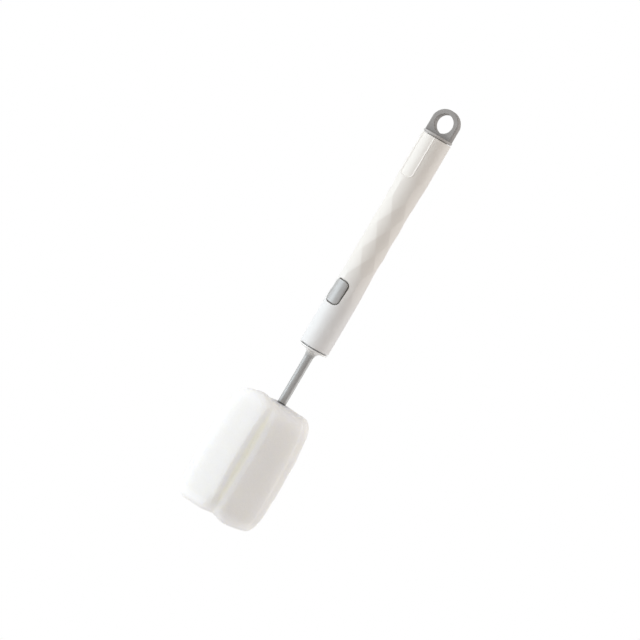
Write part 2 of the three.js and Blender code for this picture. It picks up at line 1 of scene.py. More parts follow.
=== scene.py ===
"""Looks of a bottle brush: a white faceted handle, a grey loop, button and stem, and a lobed foam head.

Places come from the CAD parts in model.glb. Sizes are in millimetres and become metres where a mesh is
made, apart from the camera's and the floor's. An azimuth about the handle is counted from the front (-Y)
towards +X.
"""

import math

import bmesh
import bpy
import numpy as np
from mathutils import Matrix, Vector


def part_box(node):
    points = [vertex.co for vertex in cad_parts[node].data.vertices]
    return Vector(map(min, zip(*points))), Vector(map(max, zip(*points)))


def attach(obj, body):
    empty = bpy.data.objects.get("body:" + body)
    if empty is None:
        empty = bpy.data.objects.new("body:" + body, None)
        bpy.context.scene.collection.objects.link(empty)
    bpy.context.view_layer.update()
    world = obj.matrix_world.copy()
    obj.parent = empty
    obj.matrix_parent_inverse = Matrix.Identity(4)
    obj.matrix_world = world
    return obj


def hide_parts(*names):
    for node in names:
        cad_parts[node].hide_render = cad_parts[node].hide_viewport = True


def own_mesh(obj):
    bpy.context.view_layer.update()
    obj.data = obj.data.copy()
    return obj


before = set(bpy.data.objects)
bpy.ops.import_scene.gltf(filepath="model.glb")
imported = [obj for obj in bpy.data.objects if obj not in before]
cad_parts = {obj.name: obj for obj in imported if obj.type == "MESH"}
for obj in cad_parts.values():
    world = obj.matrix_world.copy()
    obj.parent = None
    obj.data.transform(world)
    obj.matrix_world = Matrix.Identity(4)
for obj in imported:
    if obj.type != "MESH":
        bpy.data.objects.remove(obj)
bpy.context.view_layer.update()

MM = 0.001
FIT = 0.3
TINY = 1e-9
WELD_METRES = 1e-7
SHARP_DEG = 32

# Handle: facets, panel, rims and bores
TOP_LIFT = 0.6
FACET_COLUMNS = 12
FACET_START = 45.8
FACET_STEP = 9.75
FACET_STEPS = 6
FACET_DEPTH = 0.84
FACET_CORNER_DEPTH = 0.38
FACET_FADE = 16
FACET_SPAN = 1.4
FACET_CELLS = 20
FACET_SHARP_DEG = 9
PANEL_HALF_WIDTH = 4.9
PANEL_LENGTH = 30.7
PANEL_CORNER = 3
PANEL_DEPTH = 0.4
PANEL_EDGE = 0.2
PANEL_RIM = 0.15
PANEL_RIM_WIDTH = 0.6
PANEL_END_BAND = 0.6
PANEL_END_CLEAR = 0.8
RIM_ROUNDING = 0.5
SOCKET_BORE = 8.4
GRIP_BORE = 7.6
COOL_BELOW_Z = -150
WARM_ABOVE_Z = -95

# Button and its window
WINDOW_GAP = 0.65
WINDOW_ROUNDING = 0.35
WINDOW_MARGIN = 2.5
WINDOW_REACH_DEG = 52
BUTTON_CORNER = 3.1
BUTTON_ROUNDING = 0.5
BUTTON_BACK = 8.503
KEY_SLOT_HALF_WIDTH = 3.3
KEY_SLOT_HALF_HEIGHT = 1.4
KEY_SLOT_DEPTH = 1.1
PIN_RADIUS = 1.45

# Hanging loop cap
LOOP_TURN_DEG = 15
LOOP_HALF_THICKNESS = 2.8
LOOP_EDGE = 0.7
LOOP_INSET = 0.3
LOOP_TOP_DROP = 0.4
HOLE_RADIUS = 6.55
HOLE_EDGE = 0.4
SEAM_GAP = 0.7
SEAM_DEPTH = 1
CAP_FLANGE = 1.4
CAP_EDGE = 0.4
# Height over the flange through which the loop is painted darker towards its foot: painted shade
PAINTED_SHADE_HEIGHT = 5
# Blend at the flange's top edge, below which the flange is painted paler: painted light
PAINTED_LIGHT_FLANGE_BLEND = 0.1
SPIGOT_RADIUS = 7.3
SPIGOT_WALL = 1.9
BEAD_DROP = 7
BEAD_HALF_HEIGHT = 0.8
BEAD_REACH = 0.4

# Stem
STEM_GAP = 0.85
STEM_FLANGE = 0.9
STEM_EDGE = 0.25
PLUG_RADIUS = 8.1
PLUG_RISE = 1.5
FLARE_RADIUS = 9
FLARE_LENGTH = 6.7
FLARE_BEND_RISE = 0.62
FLARE_BEND_REACH = 1 / 3
# The flare is painted paler towards the flange as painted light, but not the plug above it
PAINTED_LIGHT_FLARE_SHARE = 0.8
PAINTED_LIGHT_BLEND = 0.05
# Heights above the foam's mouth where the rod's painted shadow sets in and where it is full
PAINTED_SHADOW_SETS_IN = 1.3
PAINTED_SHADOW_IS_FULL = 0.8
ROD_RADIUS = 3.05
ROD_LENGTH = 43.8
TAIL_FLATS = 7.2
TAIL_GROOVE_RADIUS = 2.157
TIP_LENGTH = 3
TIP_CHAMFER = 1.2
CORE_LENGTH = 67
CORE_POINT = 4
BARB_COUNT = 4
BARB_REACH = 1
BARB_LENGTH = 5

# Foam head
FOAM_LENGTH = 83.4
FOAM_WIDEST = -0.26
FOAM_TAPER = 1.8
FOAM_TOP_SQUARENESS = 7
FOAM_FOOT_SQUARENESS = 7.6
FOAM_SWELL = 1.7
FOAM_MOUTH = 1.5
FOAM_MOUTH_GAP = 0.42
FOAM_MOUTH_LIP = 1
FOAM_DIMPLE = 1.2
FOAM_OFF_CENTRE = (-1.7, -1.2)
FOAM_TURN_DEG = 6
LOBES = 6
LOBE_FLATNESS = 1
LOBE_RISES = (4.9, 1.2, 1.6, -0.1, -1.0, 0.2)
LOBE_DROPS = (-0.3, 0.9, 1.7, 0.5, 0.5, 2.4)
GROOVE_OPENINGS = (1, 0.6, 0.8, 1, 0.8, 0.45)
GROOVE_DEPTH = 1.7
GROOVE_WIDTH = 9
GROOVE_PAST_TOP = 6
GROOVE_ABOVE_FOOT = 0.5
GROOVE_FLOOR = 0.3
GROOVE_LIP = 0.03
VALLEY_DEPTH = 2.6
VALLEY_TOP_SHARE = 0.4
VALLEY_WIDTH = 7.5
FOAM_UNEVENNESS = 0.08
FOAM_WAVES = ((3, 0.11), (5, -0.23), (2, 0.31))
# Share of the painted glow (painted light by emission) that the foam's top end gets
GLOW_TOP_SHARE = 0.35

# Where a form of the foam sets in and where it is full, as shares of the foam's radius, of its half
# height or of a groove's half length
MOUTH_SPREAD = (0.5, 0.1)
LOBE_END_SPREAD = (0.35, 0.75)
LOBE_END_HEIGHT = (0.5, 1)
VALLEY_SPREAD = (0.2, 0.6)
VALLEY_ALONG = (0.55, 0.95)
OFF_CENTRE_SPREAD = (0.15, 0.8)
# Painted glow at the foam's ends, by the share of the half height
GLOW_HEIGHT = (0.72, 0.95)

# Spring
SPRING_WIRE = 0.5
SPRING_TURNS = 5

# How finely the meshes are divided
TURNED_COLUMNS = 96
BAR_COLUMNS = 40
SKIN_ROUNDS = 6
PANEL_RINGS = 18
PANEL_CORNER_RINGS = 8
PANEL_END_RINGS = 12
WINDOW_RINGS = 50
FOOT_RINGS = 14
RIM_STEPS = 13
LINING_STEPS = 8
LINING_WALL_STEPS = 5
EDGE_STEPS = 7
CAP_COLUMNS = 144
CAP_EDGE_STEPS = 6
LOOP_COLUMNS = 180
LOOP_FACE_STEPS = 8
LOOP_WALL_STEPS = 4
BUTTON_COLUMNS = 160
BUTTON_RINGS = 15
FLARE_STEPS = 20
STEM_EDGE_STEPS = 5
FOAM_COLUMNS = 360
FOAM_TOP_RINGS = 40
FOAM_SIDE_RINGS = 58
FOAM_FOOT_RINGS = 44
SPRING_STEPS = 40
WIRE_SIDES = 14

# Colours, in pairs where they vary over a surface
HANDLE_COOL = ((0.874, 0.874, 0.874), (0.862, 0.862, 0.862))
HANDLE_WARM = ((0.904, 0.875, 0.833), (0.892, 0.863, 0.821))
LOOP_GREY = (0.357, 0.345, 0.335)
TRIM_GREY = (0.380, 0.378, 0.372)
BUTTON_SHADE = 0.97
STEM_SHADE = 0.9
NATURAL = ((0.74, 0.72, 0.66), (0.70, 0.675, 0.61))
STEEL = ((0.60, 0.61, 0.62), (0.42, 0.42, 0.42))
FOAM_WHITE = ((0.914, 0.911, 0.905), (0.902, 0.899, 0.892))
FOAM_DEEP = (0.930, 0.918, 0.835)
FOAM_MOTTLE = (0.89, 0.887, 0.877)
FOAM_PORE = (0.75, 0.745, 0.73)
# Emission that makes the foam glow, more at its ends: painted light
FOAM_GLOW = ((0.062, 0.061, 0.060), (0.185, 0.187, 0.190))
FLOOR_PALE = (0.8, 0.8, 0.8)
FLOOR_LIFT = (0.6, 0.6, 0.6)
BLACK = (0, 0, 0)
WHITE = (1, 1, 1)

# Camera: lengths in metres apart from the sensor's, and the picture in pixels
VIEW_AZIMUTH_DEG = 38
VIEW_ELEVATION_DEG = 5.5
VIEW_ROLL_DEG = 30.4
VIEW_DISTANCE = 1.49
VIEW_TARGET_Z = -0.150
VIEW_RIGHT = -0.0053
VIEW_UP = 0.0026
FOCAL_PIXELS = 2277
FRAME_PIXELS = 640
SENSOR_MM = 36

# Floor, in metres, and lamps
FLOOR_Z = -1
FLOOR_HALF_SIZE = 0.8
AMBIENT = (0.350, 0.325, 0.307)
LAMPS = {
    "key": {"azimuth": -77, "elevation": 2, "width": 44, "strength": 1.9, "colour": (0.85, 0.94, 1.0)},
    "edge": {"azimuth": -114, "elevation": 0, "width": 40, "strength": 0.2, "colour": (0.92, 0.97, 1.0)},
    "rim": {"azimuth": 98, "elevation": 8, "width": 50, "strength": 1.2, "colour": (1.0, 0.98, 0.96)},
    "top": {"azimuth": 0, "elevation": 66, "width": 90, "strength": 0.5, "colour": (1.0, 0.97, 0.94)},
    "low": {"azimuth": -25, "elevation": -30, "width": 80, "strength": 0.48, "colour": (1.0, 0.97, 0.94)},
}


def box_mm(node):
    """Lowest and highest corner of a CAD node, in millimetres."""
    low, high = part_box(node)
    return np.array(low) / MM, np.array(high) / MM


shell_low, shell_high = box_mm("handle_shell")
handle_radius, handle_top, handle_bottom = shell_high[0], shell_high[2] + TOP_LIFT, shell_low[2]
cap_low, cap_high = box_mm("hang_loop_cap")
cap_radius = cap_high[0]
arch_rise = cap_high[2] - LOOP_TOP_DROP - cap_radius - TOP_LIFT
flange_bottom = handle_top + SEAM_GAP
flange_top = flange_bottom + CAP_FLANGE
button_low, button_high = box_mm("release_button")
button_radius = -button_low[1]
button_half_width = button_high[0]
button_half_height = (button_high[2] - button_low[2]) / 2
button_z = (button_high[2] + button_low[2]) / 2
latch_low, latch_high = box_mm("latch_plate")
latch_z = (latch_high[2] + latch_low[2]) / 2
stem_low, stem_high = box_mm("brush_stem")
stem_top = handle_bottom - STEM_GAP
core_bottom, tip_top, stem_flange_radius = stem_low[2], stem_high[2], stem_high[0]
foam_radius = box_mm("sponge_head")[1][1] + FOAM_SWELL
foam_top = stem_top - ROD_LENGTH
foam_middle = foam_top - FOAM_LENGTH / 2
spring_low, spring_high = box_mm("latch_spring")
spring_z = (spring_high[2] + spring_low[2]) / 2


# Grids and meshes


def around(radius, azimuth, z):
    """Points at a radius and azimuth about the handle's axis: (r sin a, -r cos a, z)."""
    radius, azimuth, z = np.broadcast_arrays(radius, azimuth, z)
    return np.stack([radius * np.sin(azimuth), -radius * np.cos(azimuth), z], axis=-1)


def ring_angles(count):
    """Evenly spaced angles round a full turn."""
    return np.linspace(0, 2 * np.pi, count, endpoint=False)


def quarter(count):
    """Angles from 0 to a right angle, for a rounded edge."""
    return np.linspace(0, np.pi / 2, count)


def rounded_edge(radius, z, size, bends, inward):
    """(radius, z) pairs along the quarter circle that rounds an outer edge at a radius and a height.
    inward is 1 at a lower edge, whose round lies above it, and -1 at an upper one."""
    return [
        (radius - size * (1 - math.cos(bend)), z + inward * size * (1 - math.sin(bend)))
        for bend in bends
    ]


def smooth_step(low, high, value):
    """0 on low's side, 1 on high's side and 3t^2 - 2t^3 between them."""
    t = np.clip((value - low) / (high - low), 0, 1)
    return t * t * (3 - 2 * t)


def rounded_reach(angle, half_width, half_height, corner):
    """Distance from a rounded rectangle's centre to its edge: the nearer side or the corner's arc."""
    across, along = np.abs(np.cos(angle)), np.abs(np.sin(angle))
    side = np.minimum(half_width / np.maximum(across, TINY), half_height / np.maximum(along, TINY))
    corner_x, corner_z = half_width - corner, half_height - corner
    towards = across * corner_x + along * corner_z
    arc = towards + np.sqrt(np.maximum(towards**2 - corner_x**2 - corner_z**2 + corner**2, 0))
    in_corner = (side * across > corner_x) & (side * along > corner_z)
    return np.where(in_corner, arc, side)


def grid_faces(rows, columns):
    """Quads between neighbouring rows and columns of a grid whose last column joins its first."""
    index = np.arange(rows * columns).reshape(rows, columns)
    index = np.hstack([index, index[:, :1]])
    return np.stack([index[:-1, :-1], index[:-1, 1:], index[1:, 1:], index[1:, :-1]], axis=-1)


def smooth_shading(mesh, sharp_deg=SHARP_DEG):
    """Smooth shading with sharp edges where faces meet at more than an angle."""
    mesh.shade_smooth()
    mesh.set_sharp_from_angle(angle=math.radians(sharp_deg))


def mesh_object(name, patches, marks=None, sharp_deg=SHARP_DEG):
    """One object from patches of points in mm and lists of faces, welded where they meet, with its faces
    pointing out. marks are numbers to keep for each point, by name."""
    points, faces, first = [], [], 0
    for patch_points, face_lists in patches:
        flat = np.asarray(patch_points).reshape(-1, 3)
        points.append(flat * MM)
        for some in face_lists:
            faces += (some.reshape(-1, some.shape[-1]) + first).tolist()
        first += len(flat)
    mesh = bpy.data.meshes.new(name)
    mesh.from_pydata(np.concatenate(points), [], faces)
    for mark, values in (marks or {}).items():
        kept = mesh.attributes.new(mark, "FLOAT", "POINT")
        kept.data.foreach_set("value", np.ravel(values).astype(np.float32))
    shape = bmesh.new()
    shape.from_mesh(mesh)
    bmesh.ops.remove_doubles(shape, verts=shape.verts, dist=WELD_METRES)
    bmesh.ops.recalc_face_normals(shape, faces=shape.faces)
    shape.to_mesh(mesh)
    shape.free()
    smooth_shading(mesh, sharp_deg)
    piece = bpy.data.objects.new(name, mesh)
    bpy.context.scene.collection.objects.link(piece)
    return piece


def surface(name, points, marks=None):
    """One object from a stack of rings that ends in points, or whose last ring is its first."""
    return mesh_object(name, [(points, [grid_faces(*points.shape[:2])])], marks)


def turned(name, profile, columns=TURNED_COLUMNS):
    """A profile of (radius, z) pairs, from the axis to the axis, turned about the handle's axis."""
    radius, z = np.array(profile).T
    return surface(name, around(radius[:, None], ring_angles(columns)[None, :], z[:, None]))


def cross_bar(name, radius, front, back, z):
    """A round bar along Y."""
    turn = ring_angles(BAR_COLUMNS)[None, :]
    size = np.array([0, radius, radius, 0])[:, None]
    y = np.array([front, front, back, back])[:, None]
    points = np.broadcast_arrays(size * np.cos(turn), y, z + size * np.sin(turn))
    return surface(name, np.stack(points, axis=-1))


def block(name, low, high):
    """A box between two corners: rings of four points between its two end faces' centres."""
    x = np.array([low[0], high[0], high[0], low[0]])[None, :]
    y = np.array([low[1], low[1], high[1], high[1]])[None, :]
    open_ring = np.array([0, 1, 1, 0])[:, None]
    middle_x, middle_y = (low[0] + high[0]) / 2, (low[1] + high[1]) / 2
    z = np.array([low[2], low[2], high[2], high[2]])[:, None]
    spread_x, spread_y = middle_x + (x - middle_x) * open_ring, middle_y + (y - middle_y) * open_ring
    return surface(name, np.stack(np.broadcast_arrays(spread_x, spread_y, z), axis=-1))


def combine(piece, tool, operation):
    """Joins a tool's solid to a piece, or cuts it out, and removes the tool."""
    modifier = piece.modifiers.new("combine", "BOOLEAN")
    modifier.operation = operation
    modifier.solver = "EXACT"
    modifier.object = tool
    graph = bpy.context.evaluated_depsgraph_get()
    mesh = bpy.data.meshes.new_from_object(piece.evaluated_get(graph))
    piece.modifiers.clear()
    piece.data = mesh
    bpy.data.objects.remove(tool)
    smooth_shading(mesh)


# Handle


def facet_radius(angle, rise, runs_out):
    """Radius of one saddle-shaped facet. Its centre line rises with the square of the height, and across
    the handle it is crowned: the positive root r of reach = r cos a + (r sin a)^2 / (2 crown)."""
    pitch = 2 * math.pi / FACET_COLUMNS
    corner = handle_radius - FACET_CORNER_DEPTH
    centre = handle_radius - FACET_DEPTH
    crown = (corner * math.sin(pitch)) ** 2 / (2 * (centre - corner * math.cos(pitch)))
    hollow = FACET_STEP**2 / (2 * (corner - centre))
    fade = FACET_FADE**2 / (2 * FACET_DEPTH)
    reach = centre + rise**2 / (2 * np.where(runs_out, fade, hollow))
    bend = np.sin(angle) ** 2 / (2 * crown)
    slope = np.cos(angle)
    return 2 * reach / (slope + np.sqrt(slope**2 + 4 * bend * reach))


def facet_row_z(row):
    """Height of a row of facets' centres."""
    return handle_top - FACET_START - row * FACET_STEP


def faceted_radius(azimuth, z):
    """The least of the plain radius and all facets' radii."""
    pitch = 2 * math.pi / FACET_COLUMNS
    least = np.full(np.broadcast(azimuth, z).shape, handle_radius)
    for row in range(FACET_STEPS + 1):
        rise = z - facet_row_z(row)
        runs_out = ((row == 0) & (rise > 0)) | ((row == FACET_STEPS) & (rise < 0))
        in_height = (np.abs(rise) < FACET_SPAN * FACET_STEP) | runs_out
        for column in range((row + 1) % 2, FACET_COLUMNS, 2):
            turn = azimuth - column * pitch
            angle = np.arctan2(np.sin(turn), np.cos(turn))
            radius = facet_radius(np.clip(angle, -2 * pitch, 2 * pitch), rise, runs_out)
            least = np.where(in_height & (np.abs(angle) < 2 * pitch), np.minimum(least, radius), least)
    return least


def skin_radius(azimuth, z):
    """Radius of the handle's outside: the facets, sunk by the panel's depth where the signed distance to
    the panel's rounded rectangle is negative, with a low round bead along the panel's edge."""
    radius = faceted_radius(azimuth, z)
    across = np.abs(radius * np.sin(azimuth)) - (PANEL_HALF_WIDTH - PANEL_CORNER)
    below = (handle_top - PANEL_LENGTH + PANEL_CORNER) - z
    outside = np.hypot(np.maximum(across, 0), np.maximum(below, 0))
    distance = outside + np.minimum(np.maximum(across, below), 0) - PANEL_CORNER
    front = np.cos(azimuth) > 0
    bead = np.sqrt(np.clip(1 - (2 * (distance - PANEL_EDGE) / PANEL_RIM_WIDTH - 1) ** 2, 0, 1))
    share = smooth_step(PANEL_EDGE, -PANEL_EDGE, distance)
    return radius + front * (PANEL_RIM * bead - PANEL_DEPTH * share)


def on_skin(x, z, sunk=0):
    """Points of the handle's front at given x and z, sunk below the skin. The radius there is found by
    taking the azimuth asin(x / r) with the last radius, a few times over."""
    radius = np.full(np.shape(x), handle_radius)
    for _ in range(SKIN_ROUNDS):
        radius = skin_radius(np.arcsin(np.clip(x / radius, -1, 1)), z)
    return np.stack([x, -np.sqrt((radius - sunk) ** 2 - x**2), z], axis=-1)


def handle_columns():
    """Azimuths of the handle's columns, with the grid's cells counted off along each facet."""
    count = FACET_COLUMNS * FACET_CELLS
    return (np.arange(count) - count // 2) * (2 * math.pi / count)


def window_heights():
    """Heights of the rings beside the window, from the top down."""
    half = button_half_height + WINDOW_GAP + WINDOW_MARGIN
    return np.linspace(button_z + half, button_z - half, WINDOW_RINGS)


def outer_heights(window):
    """Heights of the outside's rings from the top down, closer at the panel's end. Along the facets they
    are spaced so that creases run through the grid's corners. Gives the ring of the first row of facets,
    too."""
    panel_end = handle_top - PANEL_LENGTH
    corner_top = panel_end + PANEL_CORNER
    band_top, band_foot = panel_end + PANEL_END_BAND, panel_end - PANEL_END_BAND
    cell = FACET_STEP / FACET_CELLS
    above = int((panel_end - PANEL_END_CLEAR - facet_row_z(0)) / cell)
    below = int((facet_row_z(FACET_STEPS) - window[0]) / cell)
    stretches = [
        np.linspace(handle_top - RIM_ROUNDING, corner_top, PANEL_RINGS, endpoint=False),
        np.linspace(corner_top, band_top, PANEL_CORNER_RINGS, endpoint=False),
        np.linspace(band_top, band_foot, PANEL_END_RINGS),
    ]
    first = sum(len(stretch) for stretch in stretches) + above
    stretches += [
        facet_row_z(0) + cell * np.arange(above, -FACET_STEPS * FACET_CELLS - below - 1, -1),
        window,
        np.linspace(window[-1], handle_bottom + RIM_ROUNDING, FOOT_RINGS)[1:],
    ]
    return np.concatenate(stretches), first


def creased(faces, first):
    """Masks of the quads that a crease between facets crosses: falling, and rising, along the columns."""
    row, column = np.indices(faces.shape[:2])
    row = row - first
    among = (row >= 0) & (row < FACET_STEPS * FACET_CELLS)
    falls = among & ((column - row) % (2 * FACET_CELLS) == 0)
    rises = among & ((column + 1 + row) % (2 * FACET_CELLS) == 0)
    return falls, rises


def block_border(rows, columns):
    """Row and column numbers once round the edge of a block of a grid."""
    down, along = np.arange(rows - 1), np.arange(columns - 1)
    row = np.concatenate([0 * along, down, 0 * along + rows - 1, rows - 1 - down])
    column = np.concatenate([along, 0 * down + columns - 1, columns - 1 - along, 0 * down])
    return row, column


def window_lining(outer, inner):
    """Rings from the border in the outside to the window's edge, round that edge, through the wall, and
    along the bore to the border there. Each point stays on its own ray from the window's centre."""
    angle = np.arctan2(outer[:, 2] - button_z, outer[:, 0])
    reach = rounded_reach(
        angle, button_half_width + WINDOW_GAP, button_half_height + WINDOW_GAP, BUTTON_CORNER + WINDOW_GAP
    )
    ray_x, ray_z = np.cos(angle), np.sin(angle)
    lip_x, lip_z = (reach + WINDOW_ROUNDING) * ray_x, button_z + (reach + WINDOW_ROUNDING) * ray_z
    rings = [outer]
    for share in np.linspace(0, 1, LINING_STEPS)[1:]:
        x = outer[:, 0] + (lip_x - outer[:, 0]) * share
        rings.append(on_skin(x, outer[:, 2] + (lip_z - outer[:, 2]) * share))
    for bend in quarter(RIM_STEPS)[1:]:
        size = reach + WINDOW_ROUNDING * (1 - np.sin(bend))
        rings.append(on_skin(size * ray_x, button_z + size * ray_z, WINDOW_ROUNDING * (1 - np.cos(bend))))
    edge_x, edge_z = reach * ray_x, button_z + reach * ray_z
    for share in np.linspace(0, 1, LINING_WALL_STEPS)[:-1]:
        x = edge_x + (inner[:, 0] - edge_x) * share
        z = edge_z + (inner[:, 2] - edge_z) * share
        rings.append(np.stack([x, -np.sqrt(SOCKET_BORE**2 - x**2), z], axis=-1))
    rings.append(inner)
    return np.stack(rings)


def handle_rings(columns, heights, window):
    """Rings of points down the outside, round the lower rim, up the bore and round the upper rim to the
    first ring again. Gives the number of the bore's first ring beside the window, too."""
    rings = [(skin_radius(columns, z), z) for z in heights]
    rings += rounded_edge(handle_radius, handle_bottom, RIM_ROUNDING, quarter(RIM_STEPS)[1:], 1)
    rings += [(SOCKET_BORE + FIT, handle_bottom), (SOCKET_BORE, handle_bottom + FIT)]
    first_inner = len(rings)
    rings += [(SOCKET_BORE, z) for z in window[::-1]]
    rings += [(SOCKET_BORE, window[0] + FIT), (GRIP_BORE, window[0] + FIT)]
    rings += [(GRIP_BORE, handle_top - FIT), (GRIP_BORE + FIT, handle_top)]
    upper_rim = skin_radius(columns, heights[0])
    rings += rounded_edge(upper_rim, handle_top, RIM_ROUNDING, quarter(RIM_STEPS)[:0:-1], -1)
    rings.append(rings[0])
    return np.stack([around(radius, columns, z) for radius, z in rings]), first_inner


def handle_grip():
    """The handle as one closed tube with the window's lining let in. Quads that a crease between facets
    crosses are split along it."""
    columns = handle_columns()
    window = window_heights()
    heights, first_facet = outer_heights(window)
    points, first_inner = handle_rings(columns, heights, window)
    first_outer = int(np.argmin(np.abs(heights - window[0])))

    faces = grid_faces(*points.shape[:2])
    reach = math.radians(WINDOW_REACH_DEG)
    left, right = (int(np.argmin(np.abs(columns - side))) for side in (-reach, reach))
    last = len(window) - 1
    kept = np.ones(faces.shape[:2], bool)
    kept[first_outer : first_outer + last, left:right] = False
    kept[first_inner : first_inner + last, left:right] = False
    row, column = block_border(len(window), right - left + 1)
    outer = points[first_outer + row, left + column]
    inner = points[first_inner + last - row, left + column]
    lining = window_lining(outer, inner)
    falls, rises = creased(faces, first_facet)
    plain = faces[kept & ~falls & ~rises]
    halves = [faces[falls][:, corners] for corners in ([0, 1, 2], [0, 2, 3])]
    halves += [faces[rises][:, corners] for corners in ([0, 1, 3], [1, 2, 3])]
    patches = [(points, [plain, *halves]), (lining, [grid_faces(*lining.shape[:2])])]
    return mesh_object("handle_grip", patches, sharp_deg=FACET_SHARP_DEG)


# Hanging loop cap


def loop_reach(turn, y):
    """Distance from the hole's centre to the loop's outside, along a turn from +Z towards +X: the arch
    above the arch's centre, straight sides below it, and a foot inside the flange, all within the cap."""
    across, up = np.sin(turn), np.cos(turn)
    radius = cap_radius - LOOP_INSET
    side = np.sqrt(radius**2 - y**2) / np.maximum(np.abs(across), TINY)
    foot = (TOP_LIFT + CAP_EDGE / 2 - flange_bottom) / np.maximum(-up, TINY)
    arch = arch_rise * up + np.sqrt(radius**2 - (arch_rise * across) ** 2)
    reach = np.minimum(side, foot)
    return np.where(arch * up > arch_rise, np.minimum(reach, arch), reach)


def loop_section(turn):
    """(distance from the hole's centre, y) once round the loop's section: along the hole, round its edge,
    over a face, round the outer edge to the middle of the outside, and back on the other face."""
    half = LOOP_HALF_THICKNESS
    bend = quarter(EDGE_STEPS)
    wall = np.linspace(0, 1, LOOP_WALL_STEPS, endpoint=False)
    straight = np.zeros(LOOP_WALL_STEPS)
    hole_y = np.concatenate([wall * (half - HOLE_EDGE), half - HOLE_EDGE * (1 - np.sin(bend))])
    hole = HOLE_RADIUS + HOLE_EDGE * np.concatenate([straight, 1 - np.cos(bend)])
    outer_y = np.concatenate([half - LOOP_EDGE * (1 - np.cos(bend)), wall[::-1] * (half - LOOP_EDGE)])
    drawn_in = LOOP_EDGE * np.concatenate([1 - np.sin(bend), straight])
    outer = loop_reach(turn[None, :], outer_y[:, None]) - drawn_in[:, None]
    share = np.linspace(0, 1, LOOP_FACE_STEPS)[1:-1, None]
    inner = np.broadcast_to(hole[:, None], (len(hole), len(turn)))
    size = np.concatenate([inner, inner[-1:] + (outer[:1] - inner[-1:]) * share, outer])
    y = np.concatenate([hole_y, np.full(len(share), half), outer_y])[:, None] + 0 * size
    return np.concatenate([size, size[-2:0:-1]]), np.concatenate([y, -y[-2:0:-1]])


def loop_cap():
    """The loop, a section carried once round the hole, joined to the turned flange and spigot. The loop
    is turned about the handle, as the cap is plugged in."""
    turn = ring_angles(LOOP_COLUMNS)
    size, y = loop_section(turn)
    x = size * np.sin(turn)
    plugged = math.radians(LOOP_TURN_DEG)
    turned_x = x * math.cos(plugged) - y * math.sin(plugged)
    turned_y = x * math.sin(plugged) + y * math.cos(plugged)
    points = np.stack([turned_x, turned_y, TOP_LIFT + size * np.cos(turn)], axis=-1)
    loop = surface("loop", np.concatenate([points, points[:1]]))

    seat = handle_top + FIT
    core = SPIGOT_RADIUS - SPIGOT_WALL
    bead_z = handle_top - BEAD_DROP
    neck = handle_radius - SEAM_DEPTH
    profile = [(0, seat), (core, seat), (core, cap_low[2])]
    profile += [(SPIGOT_RADIUS - CAP_EDGE, cap_low[2]), (SPIGOT_RADIUS, cap_low[2] + CAP_EDGE)]
    profile += [(SPIGOT_RADIUS, bead_z - BEAD_HALF_HEIGHT), (SPIGOT_RADIUS + BEAD_REACH, bead_z)]
    profile += [(SPIGOT_RADIUS, bead_z + BEAD_HALF_HEIGHT), (SPIGOT_RADIUS, seat), (neck, seat)]
    profile += [(neck, flange_bottom), (cap_radius - CAP_EDGE / 2, flange_bottom)]
    profile += [(cap_radius, flange_bottom + CAP_EDGE / 2)]
    profile += rounded_edge(cap_radius, flange_top, CAP_EDGE, quarter(CAP_EDGE_STEPS), -1)
    profile += [(cap_radius - 2 * CAP_EDGE, flange_top), (0, flange_top)]
    cap = turned("loop_cap", profile, CAP_COLUMNS)
    combine(cap, loop, "UNION")
    return cap


# Button


def push_button():
    """The button: a face on the handle's curve with a rounded edge, a straight skirt and a flat back with
    a slot for the latch's key and a pin for the spring."""
    angle = ring_angles(BUTTON_COLUMNS)

    def ring(inset, share, sunk):
        reach = rounded_reach(
            angle, button_half_width - inset, button_half_height - inset, BUTTON_CORNER - inset
        )
        x, z = share * reach * np.cos(angle), share * reach * np.sin(angle)
        return np.stack([x, -np.sqrt((button_radius - sunk) ** 2 - x**2), button_z + z], axis=-1)

    rings = [ring(BUTTON_ROUNDING, share, 0) for share in np.linspace(0, 1, BUTTON_RINGS)]
    for bend in quarter(EDGE_STEPS)[1:]:
        inset, sunk = BUTTON_ROUNDING * (1 - math.sin(bend)), BUTTON_ROUNDING * (1 - math.cos(bend))
        rings.append(ring(inset, 1, sunk))
    skirt = rings[-1].copy()
    skirt[:, 1] = -BUTTON_BACK
    back = np.broadcast_to(np.array([0, -BUTTON_BACK, button_z]), skirt.shape)
    button = surface("push_button", np.stack(rings + [skirt, back]))

    slot_low = (-KEY_SLOT_HALF_WIDTH, -(BUTTON_BACK + KEY_SLOT_DEPTH), latch_z - KEY_SLOT_HALF_HEIGHT)
    slot_high = (KEY_SLOT_HALF_WIDTH, -BUTTON_BACK + FIT, latch_z + KEY_SLOT_HALF_HEIGHT)
    combine(button, block("key_slot", slot_low, slot_high), "DIFFERENCE")
    pin = cross_bar("spring_pin", PIN_RADIUS, -(BUTTON_BACK + FIT), button_high[1], spring_z)
    combine(button, pin, "UNION")
    return button


# Stem


def core_profile(margin):
    """(radius, z) up the rod in the foam, grown by a margin: a blunt point and barbs wider at the top."""
    pitch = (CORE_LENGTH - CORE_POINT - BARB_LENGTH) / BARB_COUNT
    rod = ROD_RADIUS + margin
    pairs = [(0, core_bottom - margin), (ROD_RADIUS / 2 + margin, core_bottom - margin)]
    pairs.append((rod, core_bottom + CORE_POINT - margin))
    for barb in range(1, BARB_COUNT + 1):
        top = core_bottom + CORE_POINT + barb * pitch
        pairs.append((rod, top - BARB_LENGTH - margin))
        pairs.append((rod + BARB_REACH, top - margin))
        pairs.append((rod + BARB_REACH, top + margin))
        pairs.append((rod, top + margin + FIT))
    return pairs


